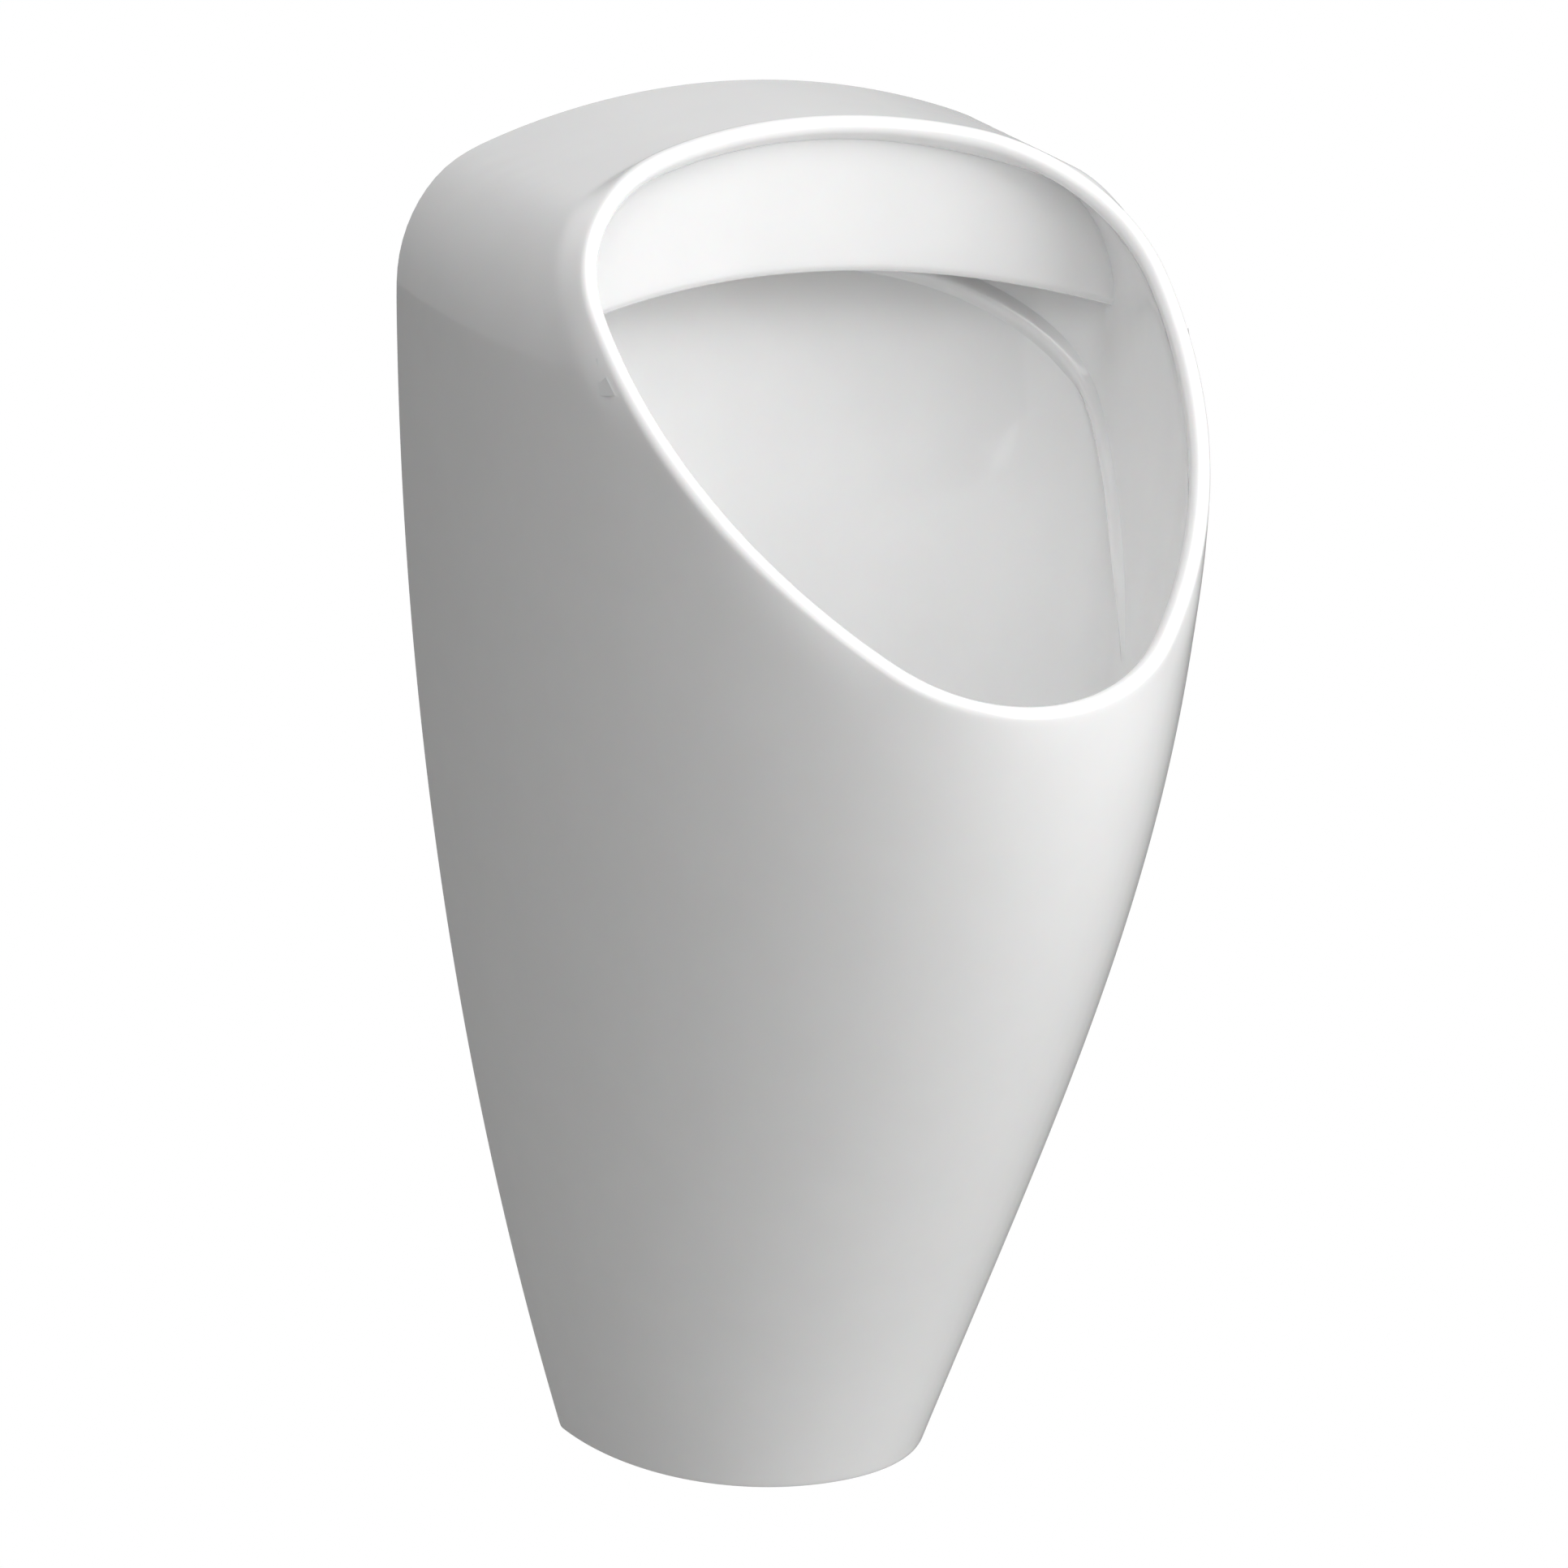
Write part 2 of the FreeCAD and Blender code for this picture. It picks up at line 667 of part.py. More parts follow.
prism = doc.addObject("Part::Prism", "spreader_nut_blank")
prism.Polygon = 6
prism.setExpression("Circumradius", bind("nut_width / 2 / 0.866"))
prism.setExpression("Height", bind("nut_depth"))
bore = doc.addObject("Part::Cylinder", "spreader_nut_bore")
bore.setExpression("Radius", bind(tube + " + seat_gap"))
bore.setExpression("Height", bind("nut_depth"))
nut = doc.addObject("Part::Cut", "spreader_nut")
nut.Label = "spreader_nut"
nut.Base, nut.Tool = prism, bore
place(nut, "inlet")
nut.setExpression("Placement.Base.y", bind("-(bowl_back - bowl_wall - seat_gap * 2 - nut_depth)"))
NODES.append(nut)

# ---------------------------------------------------------------- waste fitting: heights on the drain axis

recess_floor = "floor_height - waste_recess"
flange_under = recess_floor + " + gasket"
flange_top = flange_under + " + waste_lip"
ceramic_under = "floor_height - floor_wall"
washer_under = ceramic_under + " - washer_height"
waste_bore = "waste_radius - waste_wall"
waste_foot = flange_under + " - waste_length"

turned("waste_gasket", "drain", [
    ("drain_hole / 2 + 1", recess_floor), ("waste_flange", recess_floor),
    ("waste_flange", flange_under), ("drain_hole / 2 + 1", flange_under)])

turned("waste_flange", "drain", [
    (waste_bore, waste_foot), ("waste_radius", waste_foot), ("waste_radius", flange_under),
    ("waste_flange", flange_under), ("waste_flange", flange_top + " - 0.8"),
    ("waste_flange - 0.8", flange_top), ("strainer_radius + running_gap", flange_top),
    ("strainer_radius + running_gap", flange_top + " - strainer_sheet"),
    (waste_bore, flange_top + " - strainer_sheet")])

turned("waste_washer", "drain", [
    ("waste_radius + running_gap", washer_under), ("backnut_radius + 2", washer_under),
    ("backnut_radius + 2", ceramic_under + " - seat_gap"), ("waste_radius + running_gap", ceramic_under + " - seat_gap")])

backnut = turned("waste_backnut", "drain", [
    ("waste_radius + seat_gap", washer_under + " - seat_gap - backnut_height"),
    ("backnut_radius - 4", washer_under + " - seat_gap - backnut_height"),
    ("backnut_radius - 4", washer_under + " - seat_gap - 3"),
    ("backnut_radius", washer_under + " - seat_gap - 3"),
    ("backnut_radius", washer_under + " - seat_gap"), ("waste_radius + seat_gap", washer_under + " - seat_gap")])
grip_ribs(backnut, "backnut_radius - 4", washer_under + " - seat_gap - backnut_height",
          "backnut_height - 3", "backnut_ribs")

collar_outer = waste_bore + " - 0.7"
strainer_under = flange_top + " - strainer_sheet"
strainer = turned("strainer", "drain", [
    ("0", strainer_under), (collar_outer + " - 1.5", strainer_under),
    (collar_outer + " - 1.5", strainer_under + " - 8"), (collar_outer, strainer_under + " - 8"),
    (collar_outer, strainer_under), ("strainer_radius", strainer_under),
    ("strainer_radius", flange_top), ("0", flange_top)])
cut_through(strainer, circles(strainer, "XY_Plane", "strainer_hole / 2", [("0", "0")]))
for ring, count in (("strainer_inner_ring", "6"), ("strainer_outer_ring", "12")):
    spot = circles(strainer, "XY_Plane", "strainer_hole / 2", [(ring, "0")])
    around(strainer, cut_through(strainer, spot), spot, "N_Axis", count)

# ---------------------------------------------------------------- bottle trap

socket = "waste_radius + waste_slip"
plate = "trap_top - 3"
head = turned("trap_head", "drain", [
    ("dip_radius + running_gap", plate), ("trap_radius - trap_wall", plate),
    ("trap_radius - trap_wall", "trap_bottom"), ("trap_radius", "trap_bottom"),
    ("trap_radius", "trap_top"), (socket + " + socket_wall", "trap_top"),
    (socket + " + socket_wall", "socket_top"), (socket, "socket_top"), (socket, "trap_top"),
    ("dip_radius + running_gap", "trap_top")])
branch_bore = "outlet_radius + running_gap"
for kind, radius, start in (("AdditiveCylinder", branch_bore + " + 3.2", "trap_radius * 0.62"),
                            ("SubtractiveCylinder", branch_bore, "trap_radius * 0.4")):
    branch = head.newObject("PartDesign::" + kind, "trap_" + kind.lower())
    branch.Placement = Placement(Vector(0, value(start), size("outlet_height")), Rotation(Vector(1, 0, 0), -90))
    branch.setExpression("Placement.Base.y", bind(start))
    branch.setExpression("Placement.Base.z", bind("outlet_height"))
    branch.setExpression("Radius", bind(radius))
    branch.setExpression("Height", bind("drain_depth - outlet_socket - (" + start + ")"))

nut_foot = "socket_top - slip_nut_height + 8"
lip_under = "socket_top + seat_gap * 2 + cone_height + seat_gap * 3"
slip_bore = socket + " + socket_wall + running_gap"
slip_nut = turned("slip_nut", "drain", [
    (slip_bore, nut_foot), (slip_bore + " + nut_wall", nut_foot),
    (slip_bore + " + nut_wall", lip_under + " + 4.2"), (socket, lip_under + " + 4.2"),
    (socket, lip_under), (slip_bore, lip_under)])
grip_ribs(slip_nut, slip_bore + " + nut_wall", nut_foot + " + 2", "slip_nut_height - 5", "nut_ribs")

cone_foot = "socket_top + seat_gap * 2"
turned("slip_cone", "drain", [
    ("waste_radius + running_gap", cone_foot), (socket + " + socket_wall - 1.6", cone_foot),
    (socket + " + socket_wall - 0.1", cone_foot + " + 1.8"),
    (socket + " + socket_wall - 0.1", cone_foot + " + cone_height"),
    ("waste_radius + running_gap", cone_foot + " + cone_height")])

dip_flange = socket + " - 0.4"
turned("dip_tube", "drain", [
    ("dip_radius - dip_wall", "dip_bottom"), ("dip_radius", "dip_bottom"), ("dip_radius", "trap_top"),
    (dip_flange, "trap_top"), (dip_flange, "trap_top + 2.4"), ("dip_radius - dip_wall", "trap_top + 2.4")])

cup_seat = "trap_bottom - cup_shoulder - seat_gap * 4"
cup_bore = "trap_radius + running_gap"
cup = turned("trap_cup", "drain", [
    ("0", "cup_bottom"), ("cup_radius - 2", "cup_bottom"), ("cup_radius", "cup_bottom + 2"),
    ("cup_radius", cup_seat + " - 4"), (cup_bore + " + nut_wall", cup_seat + " - 4"),
    (cup_bore + " + nut_wall", cup_seat + " + cup_collar"), (cup_bore, cup_seat + " + cup_collar"),
    (cup_bore, cup_seat), ("cup_radius - trap_wall", cup_seat),
    ("cup_radius - trap_wall", "cup_bottom + 3"), ("0", "cup_bottom + 3")])
grip_ribs(cup, cup_bore + " + nut_wall", cup_seat + " - 3", "cup_collar", "cup_ribs")

turned("cup_seal", "drain", [
    ("cup_radius - trap_wall + 0.5", cup_seat + " + seat_gap * 2"),
    ("trap_radius - 0.2", cup_seat + " + seat_gap * 2"),
    ("trap_radius - 0.2", cup_seat + " + seat_gap * 2 + cup_shoulder"),
    ("cup_radius - trap_wall + 0.5", cup_seat + " + seat_gap * 2 + cup_shoulder")])

# ---------------------------------------------------------------- outlet to the wall: depths out of the wall

pipe_end = "outlet_socket + outlet_grip"
turned("outlet_pipe", "outlet", [
    ("outlet_radius - outlet_wall", "wall_gap"), ("outlet_radius", "wall_gap"),
    ("outlet_radius", pipe_end), ("outlet_radius - outlet_wall", pipe_end)])

wedge_back = "outlet_socket - seat_gap * 2 - cone_height"
turned("outlet_wedge_ring", "outlet", [
    ("outlet_radius + running_gap", wedge_back), (branch_bore + " + 3.1", wedge_back),
    (branch_bore + " + 3.1", wedge_back + " + 2"), (branch_bore + " + 1.6", wedge_back + " + cone_height"),
    ("outlet_radius + running_gap", wedge_back + " + cone_height")])

nut_back = wedge_back + " - seat_gap * 3 - 3.7"
thread = branch_bore + " + 3.2 + running_gap"
outlet_nut = turned("outlet_nut", "outlet", [
    ("outlet_radius + running_gap + 0.1", nut_back), (thread + " + nut_wall", nut_back),
    (thread + " + nut_wall", nut_back + " + 20"), (thread, nut_back + " + 20"),
    (thread, nut_back + " + 3.7"), ("outlet_radius + running_gap + 0.1", nut_back + " + 3.7")])
grip_ribs(outlet_nut, thread + " + nut_wall", nut_back + " + 2", "15", "nut_ribs")

turned("wall_collar", "outlet", [
    ("outlet_radius + seat_gap", "wall_gap / 4"), ("collar_radius", "wall_gap / 4"),
    ("collar_radius", "wall_gap / 4 + 2.5"), ("outlet_radius + 4", "wall_gap / 4 + 7.5"),
    ("outlet_radius + seat_gap", "wall_gap / 4 + 7.5")])

# ---------------------------------------------------------------- checks and export

doc.recompute()
for item in doc.Objects:
    faults = [word for word in item.State if word in ("Invalid", "Error")]
    if faults:
        raise RuntimeError(f"{item.Label}: {faults}")
os.makedirs("parts", exist_ok=True)
for node in NODES:
    if node.Shape.isNull() or not node.Shape.isValid() or not node.Shape.Solids:
        raise RuntimeError(node.Label + " has no valid solid")
for node in NODES:
    node.Shape.exportStep(f"parts/{node.Label}.step")
    print(node.Label, len(node.Shape.Solids), "solid(s)", round(node.Shape.Volume / 1000, 2), "cm3")
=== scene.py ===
import json
import math
import bpy
import bmesh
import numpy as np
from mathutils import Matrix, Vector


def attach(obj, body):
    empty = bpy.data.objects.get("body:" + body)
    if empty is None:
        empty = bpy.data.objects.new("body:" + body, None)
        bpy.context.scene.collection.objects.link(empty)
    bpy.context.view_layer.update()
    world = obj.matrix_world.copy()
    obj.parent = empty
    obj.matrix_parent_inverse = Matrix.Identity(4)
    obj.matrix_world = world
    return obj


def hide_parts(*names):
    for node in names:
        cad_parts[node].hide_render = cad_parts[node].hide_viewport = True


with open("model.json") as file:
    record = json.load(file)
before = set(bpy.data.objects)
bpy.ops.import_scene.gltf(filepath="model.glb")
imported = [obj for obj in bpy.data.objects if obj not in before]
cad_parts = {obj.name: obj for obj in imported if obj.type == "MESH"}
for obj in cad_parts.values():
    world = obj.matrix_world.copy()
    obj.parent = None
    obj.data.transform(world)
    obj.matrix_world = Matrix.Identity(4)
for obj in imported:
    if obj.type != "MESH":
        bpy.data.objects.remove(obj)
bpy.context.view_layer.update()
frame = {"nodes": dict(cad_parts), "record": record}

wallDatum = 502  # height of the hanger screws above the bottom edge, where z is 0 in the model

# Everything about the china is in millimetres, heights measured up from its bottom edge.
form = {
    "width": 325, "height": 645, "baseWidth": 173, "widest": 548,
    "depths": (123.8, 207.4, 291.6, 350.5),  # out from the wall, at even steps from the foot to the lip
    "rimHeight": 420, "rimDepth": 350, "flare": 0.27,
    "sideFullness": 0.6, "frontFullness": 0.59,
    "topRadius": 347, "topSlope": 3.7, "skin": 9,
    "corner": 62, "cornerSpread": 26, "spreadDepth": 150, "cornerShare": 0.568,
    "edgeRound": 0.12, "coreHeight": 330, "coreTop": 520, "coreShare": 0.35,
}
mouth = {
    "lipRadius": 85, "lipTurn": 50, "cornerRadius": 93, "crownTurn": 160, "sideStep": 25.5,
    "crownDepth": 100, "crownDrop": 7.68, "middleShare": 0.55,
    "bead": 4.8, "beadRings": 11, "beadRunIn": 62, "skinBelow": 11, "skinAside": 4,
}
bowl = {
    "floor": 245, "floorRadius": 50, "floorWall": 12, "drainDepth": 95, "drainHole": 27,
    "creaseDepth": 118, "back": 30, "recessRadius": 43.5, "recess": 3.5, "topCorner": 7,
    "pastTop": 12, "openAside": 4, "openFront": 40, "coreTop": 560, "coreDepths": (150, 110),
    "cornerOut": 3, "cornerUp": 2.2, "floorFlat": 47, "closer": 1.15,
}
# The bowl's hollow between its floor and its widest height: how far up it is as a share of the way
# to the lip, how much narrower than the skin, how far its crease and its back come forward, and how
# far short of the front.
wellSteps = (
    (0.10, 62, 0, 10, 76), (0.31, 34, 14, 6, 44), (0.60, 14, 36, 3, 12),
    (0.88, 7, 44, 1, -2), (1.17, 7, 22, 0, -14), (1.46, 6, 2, 0, -30),
)
mesh = {
    "halfColumns": 80, "footColumns": 20, "outerRings": 34, "bowlRings": 34,
    "curveSteps": 600, "arcSteps": 60, "footSteps": 200, "edgeSteps": 500,
    "footEnd": 0.975, "backStart": 0.004, "skinStart": (0.004, 0.02),
}
search = {"nearest": 0.02, "farthest": 4.0, "halvings": 44}  # shares of the way from origin to guess


def place(points):
    # millimetres above the bottom edge to metres in the model's frame
    return (np.asarray(points, float) - np.array([0, 0, wallDatum])) * 0.001


# The form is kept as gaps: how far a point stands outside each face, less than nought inside it.

def halfWidth(z):
    spread = (form["width"] - form["baseWidth"]) / 2
    radius = (form["widest"] ** 2 + spread ** 2) / (2 * spread)
    below = np.maximum(form["widest"] - z, 0)
    return form["width"] / 2 - radius + np.sqrt(radius ** 2 - below ** 2)


def depthAt(z):
    heights = np.linspace(0, form["rimHeight"], len(form["depths"]))
    cubic = np.polyfit(heights, form["depths"], 3)
    past = np.maximum(z - form["rimHeight"], 0)
    return np.polyval(cubic, np.minimum(z, form["rimHeight"])) + past * form["flare"]


def quarterCurve():
    # the D section's quarter between its side (1, 0) and its front (0, 1)
    t = np.linspace(0, 1, mesh["curveSteps"])
    u = (1 - t) ** 3 + 3 * (1 - t) ** 2 * t + 3 * (1 - t) * t ** 2 * form["frontFullness"]
    v = 3 * (1 - t) ** 2 * t * form["sideFullness"] + 3 * (1 - t) * t ** 2 + t ** 3
    return t, u, v


curveShare, curveU, curveV = quarterCurve()
curveAngle, curveReach = np.arctan2(curveV, curveU), np.hypot(curveU, curveV)


def sideGap(p, inset):
    # out of the D section at the point's height
    x, y, z = np.abs(p[..., 0]), np.maximum(-p[..., 1], 0), p[..., 2]
    half, deep = halfWidth(z) - inset, depthAt(z) - inset
    angle = np.arctan2(y / deep, x / half)
    edge = np.interp(angle, curveAngle, curveReach)
    return np.hypot(x, y) - edge * np.hypot(np.cos(angle) * half, np.sin(angle) * deep)


def topGap(p, inset):
    # out of the domed top, which falls slightly to the front
    slope = math.radians(form["topSlope"])
    rise = -p[..., 1] * math.sin(slope) + (p[..., 2] - form["height"]) * math.cos(slope)
    return np.hypot(p[..., 0], rise + form["topRadius"]) - (form["topRadius"] - inset)


def roundedMax(a, b, radius):
    # the larger of two gaps, with the corner between the two faces rounded
    a, b = a + radius, b + radius
    return np.where((a > 0) & (b > 0), np.hypot(np.maximum(a, 0), np.maximum(b, 0)) - radius,
                    np.maximum(a, b) - radius)


def formGap(p, inset=0.0):
    forward = np.clip(-p[..., 1] / form["spreadDepth"], 0, 1)
    corner = form["corner"] + form["cornerSpread"] * forward - inset
    return roundedMax(sideGap(p, inset), topGap(p, inset), corner * form["cornerShare"])


def wellStations():
    # the bowl's hollow from its floor up: height, half width, crease, back and front
    floor, radius, drain = bowl["floor"], bowl["floorRadius"], bowl["drainDepth"]
    rows = [(floor, radius, drain, drain - radius, drain + radius)]
    for share, narrower, forward, slope, short in wellSteps:
        z = floor + (form["rimHeight"] - floor) * share
        rows.append((z, halfWidth(z) - narrower, bowl["creaseDepth"] + forward, bowl["back"] + slope,
                     depthAt(z) - short))
    for z in (form["widest"], form["height"] + bowl["pastTop"]):  # straight up and open in front
        rows.append((z, form["width"] / 2 - bowl["openAside"], bowl["creaseDepth"], bowl["back"],
                     depthAt(z) + bowl["openFront"]))
    return np.array(rows, float)


stations = wellStations()


def smoothThrough(x, xs, ys):
    # a cubic that passes through the stations with even tangents
    slopes = np.gradient(ys, xs)
    i = np.clip(np.searchsorted(xs, x) - 1, 0, len(xs) - 2)
    span = xs[i + 1] - xs[i]
    t = np.clip((x - xs[i]) / span, 0, 1)
    return ((1 + 2 * t) * (1 - t) ** 2 * ys[i] + t * (1 - t) ** 2 * span * slopes[i]
            + t ** 2 * (3 - 2 * t) * ys[i + 1] + t ** 2 * (t - 1) * span * slopes[i + 1])


def wellGap(p):
    # out of the well, an ellipse at each height with its crease as the middle
    x, y, z = np.abs(p[..., 0]), -p[..., 1], p[..., 2]
    half, crease, back, front = (smoothThrough(z, stations[:, 0], stations[:, i]) for i in (1, 2, 3, 4))
    length = np.where(y > crease, front - crease, crease - back)
    reach = np.hypot(x / half, (y - crease) / length) + 1e-9
    return np.hypot(x, y - crease) * (1 - 1 / reach)


def cavityGap(p):
    return roundedMax(wellGap(p), formGap(p, form["skin"]), bowl["topCorner"])


def drop(origin, guess, gap):
    # moves each guess along the line from its origin until it lies where the gap is nought
    low, high = (np.full(guess.shape[:-1], search[end]) for end in ("nearest", "farthest"))
    for halving in range(search["halvings"]):
        middle = (low + high) / 2
        outside = gap(origin + (guess - origin) * middle[..., None]) > 0
        high, low = np.where(outside, middle, high), np.where(outside, low, middle)
    return origin + (guess - origin) * ((low + high) / 2)[..., None]


def unit(v):
    return v / (np.linalg.norm(v, axis=-1, keepdims=True) + 1e-12)


def slopeOf(gap, p):
    # the direction in which a gap grows
    step = np.eye(3) * 0.5
    return unit(np.stack([gap(p + step[i]) - gap(p - step[i]) for i in range(3)], axis=-1))


def evenly(points, count):
    # points at even steps along a line, or at the shares of its length that are given
    steps = np.concatenate([[0], np.cumsum(np.linalg.norm(np.diff(points, axis=0), axis=1))])
    at = np.linspace(0, steps[-1], count) if np.isscalar(count) else np.asarray(count) * steps[-1]
    return np.stack([np.interp(at, steps, points[:, i]) for i in range(points.shape[1])], axis=1)


# The mouth lies in one slanting plane. Its loops hold one half each, from the front to the top centre.
across = np.array([1.0, 0, 0])
lip = np.array([0, -(form["rimDepth"] - mouth["bead"]), form["rimHeight"]], float)
crown = np.array([0, -mouth["crownDepth"], form["height"] - mouth["crownDrop"]], float)
upSlope = (crown - lip) / np.linalg.norm(crown - lip)
rimNormal = np.cross(across, upSlope)
rimNormal *= np.sign(rimNormal[2])


def rimPath():
    # centre of the bead in the mouth's plane, with the direction out of the mouth, as arcs that touch
    wide = form["width"] / 2 - mouth["sideStep"]
    turns = [math.radians(mouth["lipTurn"]), math.pi / 2, math.radians(mouth["crownTurn"]), math.pi]
    rows, u, v, heading = [], 0.0, 0.0, 0.0
    for i, turn in enumerate(turns):
        radius = (mouth["lipRadius"], 0, mouth["cornerRadius"], 0)[i]
        if i == 1:  # the side arc ends upright at the mouth's widest
            radius = (wide - u) / (1 - math.sin(heading))
        if i == 3:  # the crown arc ends on the middle plane
            radius = u / math.sin(heading)
        a, b = u - radius * math.sin(heading), v + radius * math.cos(heading)
        for angle in np.linspace(heading, turn, mesh["arcSteps"]):
            rows.append((a + radius * math.sin(angle), b - radius * math.cos(angle), angle))
        u, v, heading = rows[-1][0], rows[-1][1], turn
    return evenly(np.array(rows), mesh["halfColumns"] + 1)


rim = rimPath()
beadCentre = lip + rim[:, 0:1] * across + rim[:, 1:2] * upSlope
beadOut = np.sin(rim[:, 2:3]) * across - np.cos(rim[:, 2:3]) * upSlope


def wallAndFoot(inset):
    # bottom edge from the front centre to the wall, then the back edge up to the top centre
    t = np.linspace(1, 0, mesh["footSteps"])
    half, reach = halfWidth(0) - inset, depthAt(0) - inset
    u, v = np.interp(t, curveShare, curveU), np.interp(t, curveShare, curveV)
    foot = np.stack([u * half, -v * reach, t * 0], axis=1)
    foot = evenly(foot, np.append(np.linspace(0, mesh["footEnd"], mesh["footColumns"]), 1.0))
    centre = np.array([0, 0, form["coreHeight"]], float)
    angle = np.linspace(math.atan2(-centre[2], half), math.pi / 2, mesh["edgeSteps"])
    guess = centre + np.stack([np.cos(angle), angle * 0, np.sin(angle)], axis=1) * 100
    back = drop(centre, guess, lambda p: formGap(p, inset))
    back[0] = (half, 0, 0)
    columns = mesh["halfColumns"] - mesh["footColumns"]
    back = evenly(back, np.append(0, np.linspace(mesh["backStart"], 1, columns)))
    return np.concatenate([foot, back[1:]])


def ringsBetween(start, end, shares, originOf, gap):
    rings = []
    for share in shares:
        guess = start + (end - start) * share
        rings.append(drop(originOf(guess), guess, gap))
    return rings


def skinOrigin(p):
    # points inside the form from which each point of its skin is seen about square on
    return np.stack([p[:, 0] * 0, p[:, 1] * form["coreShare"], np.minimum(p[:, 2], form["coreTop"])], axis=1)


def bowlOrigin(p):
    # the same inside the bowl, on a line that leans with it
    z = np.clip(p[:, 2], bowl["floor"] + 1, bowl["coreTop"])
    heights = (bowl["floor"], form["rimHeight"], bowl["coreTop"])
    return np.stack([z * 0, -np.interp(z, heights, (bowl["drainDepth"], *bowl["coreDepths"])), z], axis=1)


def drainRing(radius, z):
    # on the drain's axis, in step with the columns of the mouth
    middle = rim[-1, 1] * mouth["middleShare"]
    angle = np.arctan2(rim[:, 0], -(rim[:, 1] - middle))
    x, y = radius * np.sin(angle), -bowl["drainDepth"] - radius * np.cos(angle)
    return np.stack([x, y, angle * 0 + z], axis=1)


def castingRings():
    outerEdge, innerEdge = wallAndFoot(0.0), wallAndFoot(form["skin"])
    below = beadCentre - rimNormal * mouth["skinBelow"]
    skinTop = drop(skinOrigin(below), below + beadOut * mouth["skinAside"], formGap)
    bowlTop = drop(bowlOrigin(below), below - beadOut * mouth["skinAside"], cavityGap)

    # wall edge and bottom edge: as thick as the skin, with slightly rounded corners
    soft = form["edgeRound"]
    rings = [innerEdge + (outerEdge - innerEdge) * share for share in (0, soft, 1 - soft, 1)]

    # outer skin up to the bead
    start, second = mesh["skinStart"]
    shares = [start, *np.linspace(second, 1, mesh["outerRings"])]
    rings += ringsBetween(outerEdge, skinTop, shares, skinOrigin, formGap)

    # the bead, from where the skin runs into it round to the bowl
    leave, arrive = skinTop - beadCentre, bowlTop - beadCentre
    runIn = math.radians(mouth["beadRunIn"])
    first = np.arctan2((leave @ rimNormal), (leave * beadOut).sum(1)) + runIn
    last = np.arctan2((arrive @ rimNormal), (arrive * beadOut).sum(1)) % (2 * math.pi) - runIn
    for share in np.linspace(0, 1, mouth["beadRings"]):
        angle = (first + (last - first) * share)[:, None]
        rings.append(beadCentre + mouth["bead"] * (np.cos(angle) * beadOut + np.sin(angle) * rimNormal))

    # the bowl down to its floor, closer together near the floor
    floor = bowl["floor"]
    floorEdge = drainRing(bowl["floorRadius"] + bowl["cornerOut"], floor + bowl["cornerUp"])
    shares = 1 - (1 - np.linspace(0, 1, mesh["bowlRings"])) ** bowl["closer"]
    rings += ringsBetween(bowlTop, floorEdge, shares[:-1], bowlOrigin, cavityGap)

    # floor, waste recess and drain hole, with two rings at each edge to keep it crisp
    under, recess, hole = floor - bowl["recess"], bowl["recessRadius"], bowl["drainHole"]
    for radius, z in ((bowl["floorRadius"] + 0.5, floor + 0.6), (bowl["floorFlat"], floor),
                      (recess + 0.8, floor), (recess, floor - 0.7), (recess, under + 0.4),
                      (recess - 0.4, under), (hole + 0.6, under), (hole, under - 0.6),
                      (hole, floor - bowl["floorWall"])):
        rings.append(drainRing(radius, z))
    return rings


def bothHalves(half):
    # a half loop and its mirror image as one closed loop
    other = half[-2:0:-1] * np.array([-1, 1, 1])
    return np.concatenate([half, other])


def makeObject(name, mold, smooth=True):
    data = bpy.data.meshes.new(name)
    bmesh.ops.recalc_face_normals(mold, faces=mold.faces)
    mold.to_mesh(data)
    mold.free()
    for face in data.polygons:
        face.use_smooth = smooth
    thing = bpy.data.objects.new(name, data)
    bpy.context.scene.collection.objects.link(thing)
    return thing


def skinOver(mold, loops, closeRound=True):
    # edges through the first loop, extruded to each next loop in turn
    row = [mold.verts.new(spot) for spot in loops[0]]
    edges = [mold.edges.new(pair) for pair in zip(row, row[1:] + row[:1] * closeRound)]
    for loop in loops[1:]:
        made = bmesh.ops.extrude_edge_only(mold, edges=edges)["geom"]
        fresh = {part for part in made if isinstance(part, bmesh.types.BMVert)}
        edges = [part for part in made
                 if isinstance(part, bmesh.types.BMEdge) and fresh.issuperset(part.verts)]
        row = [next(edge.other_vert(vertex) for edge in vertex.link_edges
                    if edge.other_vert(vertex) in fresh) for vertex in row]
        for vertex, spot in zip(row, loop):
            vertex.co = spot
    # extrusion leaves edges and faces in no fixed order, and each run should give the same mesh
    mold.verts.index_update()
    total = len(mold.verts)
    for parts in (mold.edges, mold.faces):
        parts.sort(key=lambda part: min(corner.index for corner in part.verts) * total
                   + max(corner.index for corner in part.verts))


def refine(thing):
    subdivision = thing.modifiers.new("refine", "SUBSURF")
    subdivision.levels = subdivision.render_levels = 1
    return thing


def makeBowl():
    mold = bmesh.new()
    skinOver(mold, [place(bothHalves(ring)) for ring in castingRings()])
    return refine(makeObject("china_bowl", mold))


hood = {
    "depth": 84, "lean": 13, "wall": 8, "edge": 568, "planRadius": 375, "archRadius": 520,
    "reach": 150, "columns": 76, "softEdge": 3.4, "inSkin": 0.45,
    "blend": 16, "blendFull": 94, "blendEnd": 124,  # where it runs out of the bead, to each side
    "blendRows": 7, "frontRows": 12, "edgeRows": 7,
}


